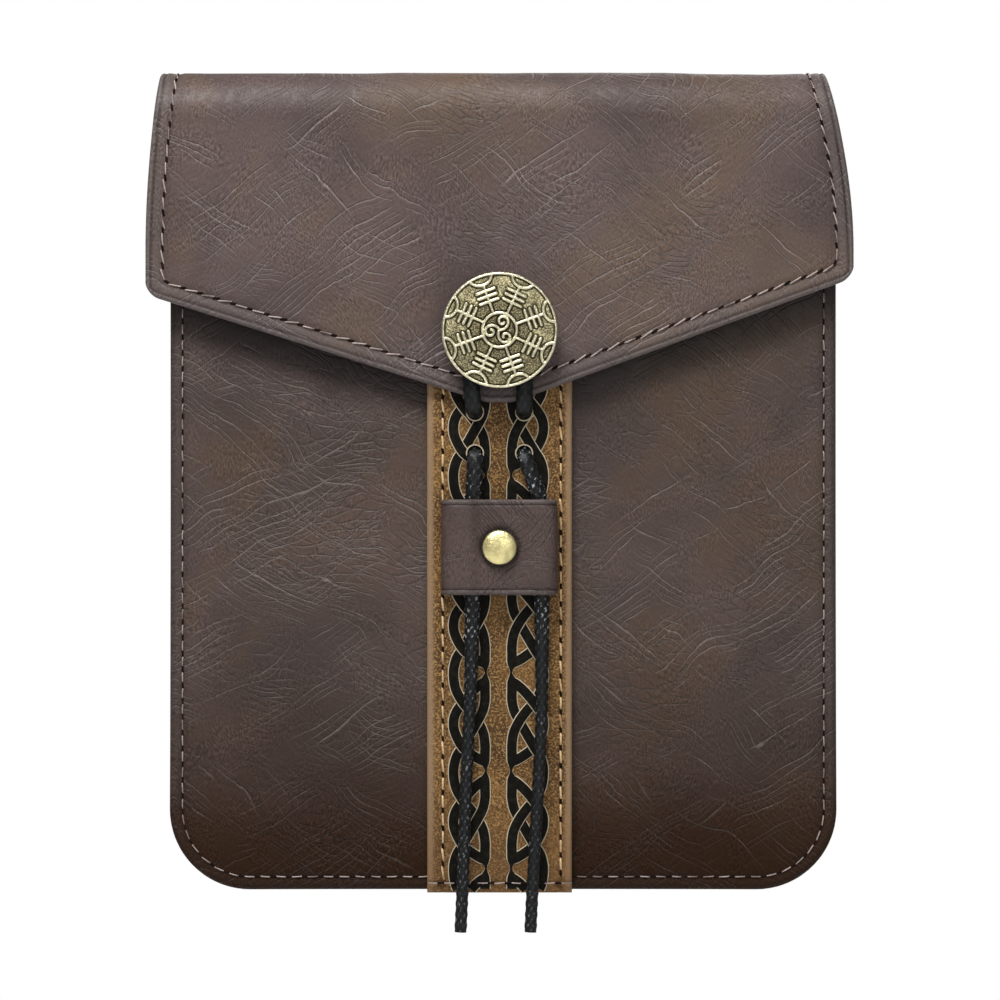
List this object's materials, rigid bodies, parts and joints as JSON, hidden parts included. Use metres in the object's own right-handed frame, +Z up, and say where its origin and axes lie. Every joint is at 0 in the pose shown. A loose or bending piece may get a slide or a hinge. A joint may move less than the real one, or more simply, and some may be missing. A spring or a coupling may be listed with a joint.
{
  "type": "medieval belt pouch",
  "caption": "Flat leather belt pouch with a pointed flap, centre strap, round concho closed by a cord, riveted keeper and belt loops on the back.",
  "frame": {"origin": "middle of the belt passage, halfway between the outer face of the back panel and the inner faces of the belt loops, and halfway between the two loops", "axes": "+Z up as the pouch hangs on a belt, -Y out of the front, +X to the right as the front is looked at"},
  "size_m": [0.1564, 0.053, 0.1901],
  "materials": {
    "brown_leather": "semi-matt dark brown leather with fine creases",
    "tan_leather": "matt tan leather with a black plait print",
    "brass": "antique brass, bright on the raised lines and dark in the field",
    "cord": "waxed black braided cotton"
  },
  "bodies": {
    "root": {"front_panel": "brown_leather", "back_panel": "brown_leather", "gusset": "brown_leather", "flap": "brown_leather", "centre_strap": "tan_leather", "keeper": "brown_leather", "keeper_rivet": "brass", "concho": "brass", "closure_cord": "cord", "left_tail": "cord", "right_tail": "cord", "belt_loop_left": "brown_leather", "belt_loop_right": "brown_leather"}
  },
  "joints": []
}
